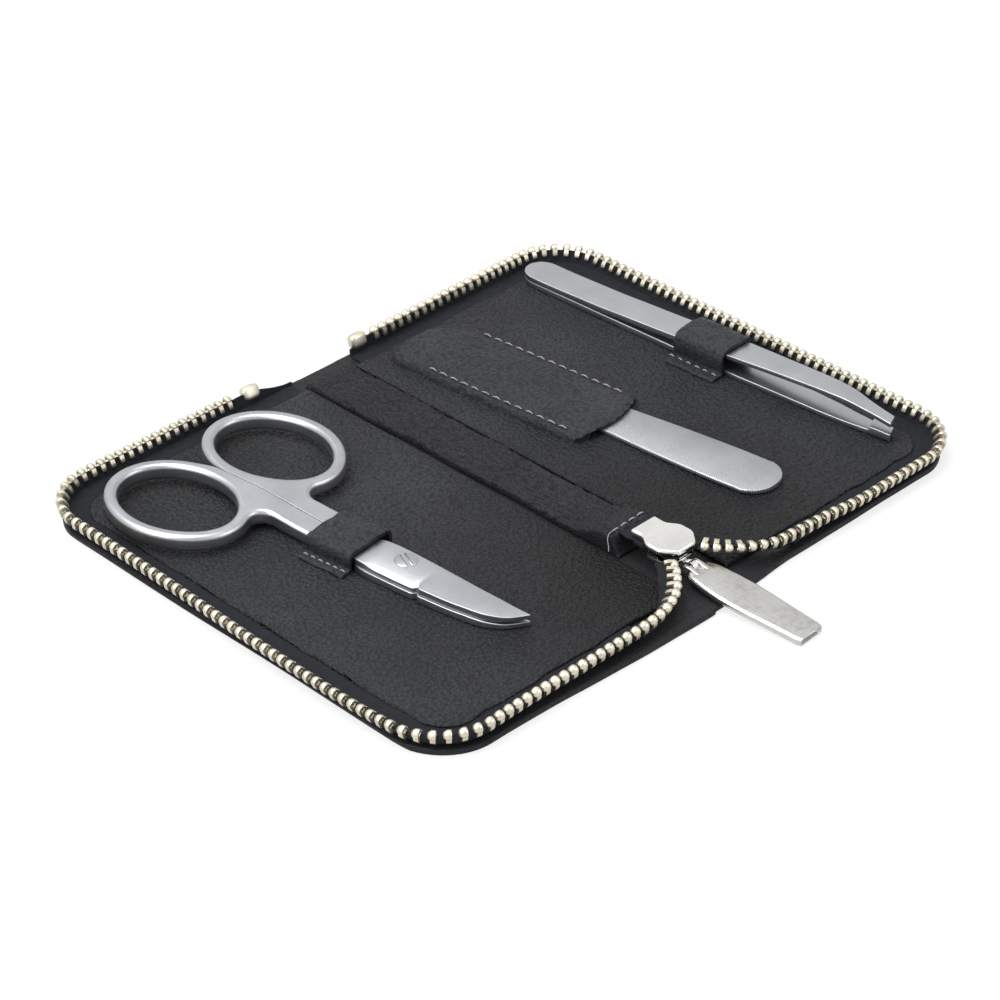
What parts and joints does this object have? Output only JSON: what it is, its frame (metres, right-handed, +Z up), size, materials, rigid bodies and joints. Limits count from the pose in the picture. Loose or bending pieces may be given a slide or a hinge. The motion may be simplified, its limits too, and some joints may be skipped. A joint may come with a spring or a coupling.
{
  "type": "manicure set case",
  "caption": "Zip-round leather manicure case lying open on its spine, with nail scissors, a file in its pocket and tweezers held by leather loops.",
  "frame": {"origin": "middle of the spine on the table, on the underside of the outer leather", "axes": "+X across the spine towards the half with the file and tweezers, +Y along the spine away from the slider, +Z up"},
  "size_m": [0.149, 0.1359, 0.0093],
  "materials": {
    "cover_leather": "black pebbled leather, satin",
    "lining_leather": "charcoal fine-grain nappa, soft satin",
    "loop_leather": "black grained leather, satin",
    "board": "bonded leather board, hidden",
    "zip_tape": "black woven tape",
    "thread": "grey sewing thread",
    "zip_metal": "pale nickel silver, polished",
    "slider_metal": "polished nickel",
    "satin_steel": "bead-blasted stainless steel"
  },
  "bodies": {
    "spine": {"spine_cover": "cover_leather", "spine_strip": "loop_leather", "spine_strip_stitches": "thread", "bottom_tape": "zip_tape", "bottom_stop": "zip_metal", "left_bend_tape": "zip_tape", "right_bend_tape": "zip_tape", "left_bend_teeth": "zip_metal", "right_bend_teeth": "zip_metal"},
    "left_half": {"left_cover": "cover_leather", "left_board": "board", "left_lining": "lining_leather", "left_zip_tape": "zip_tape", "left_teeth": "zip_metal", "left_top_stop": "zip_metal", "scissors_loop": "loop_leather", "scissors_loop_stitches": "thread"},
    "right_half": {"right_cover": "cover_leather", "right_board": "board", "right_lining": "lining_leather", "right_zip_tape": "zip_tape", "right_teeth": "zip_metal", "right_top_stop": "zip_metal", "file_pocket": "loop_leather", "pocket_stitches": "thread", "tweezers_loop": "loop_leather", "tweezers_loop_stitches": "thread"},
    "slider": {"slider_body": "slider_metal", "slider_crown": "slider_metal"},
    "pull_tab": {"pull_tab": "slider_metal", "pull_tab_pin": "slider_metal"},
    "scissors": {"scissors_lower_half": "satin_steel", "scissors_screw": "satin_steel"},
    "scissors_upper": {"scissors_upper_half": "satin_steel"},
    "nail_file": {"nail_file": "satin_steel"},
    "tweezers": {"tweezers_lower_arm": "satin_steel"},
    "tweezers_upper": {"tweezers_upper_arm": "satin_steel"}
  },
  "joints": [
    {"name": "left_fold", "type": "hinge", "parent": "spine", "child": "left_half", "pos_m": [-0.0058, 0, 0.0014], "axis": [0, 1, 0], "range_deg": [0, 90], "deforming": ["left_bend_tape", "left_bend_teeth"]},
    {"name": "right_fold", "type": "hinge", "parent": "spine", "child": "right_half", "pos_m": [0.0058, 0, 0.0014], "axis": [0, -1, 0], "range_deg": [0, 90], "deforming": ["right_bend_tape", "right_bend_teeth"]},
    {"name": "slider_run", "type": "slide", "parent": "spine", "child": "slider", "axis": [0, -1, 0], "range_m": [0, 0.002]},
    {"name": "tab_swing", "type": "hinge", "parent": "slider", "child": "pull_tab", "pos_m": [0, -0.0487, 0.0032], "axis": [-0.9984, -0.0558, 0], "range_deg": [0, 94]},
    {"name": "scissors_shift", "type": "slide", "parent": "left_half", "child": "scissors", "axis": [-0.1184, 0.993, 0], "range_m": [0, 0.0035]},
    {"name": "scissors_pivot", "type": "hinge", "parent": "scissors", "child": "scissors_upper", "pos_m": [-0.0386, -0.0109, 0.004], "axis": [0, 0, 1], "range_deg": [0, 3.5]},
    {"name": "file_slide", "type": "slide", "parent": "right_half", "child": "nail_file", "axis": [0.1219, -0.9925, 0], "range_m": [0, 0.012]},
    {"name": "tweezers_shift", "type": "slide", "parent": "right_half", "child": "tweezers", "axis": [0.0366, -0.9993, 0], "range_m": [0, 0.006]},
    {"name": "tweezers_squeeze", "type": "hinge", "parent": "tweezers", "child": "tweezers_upper", "pos_m": [0.05884, 0.04071, 0.00375], "axis": [0.9993, 0.0366, 0], "range_deg": [0, 0.9], "stiffness_Nm_per_rad": 6.4}
  ]
}
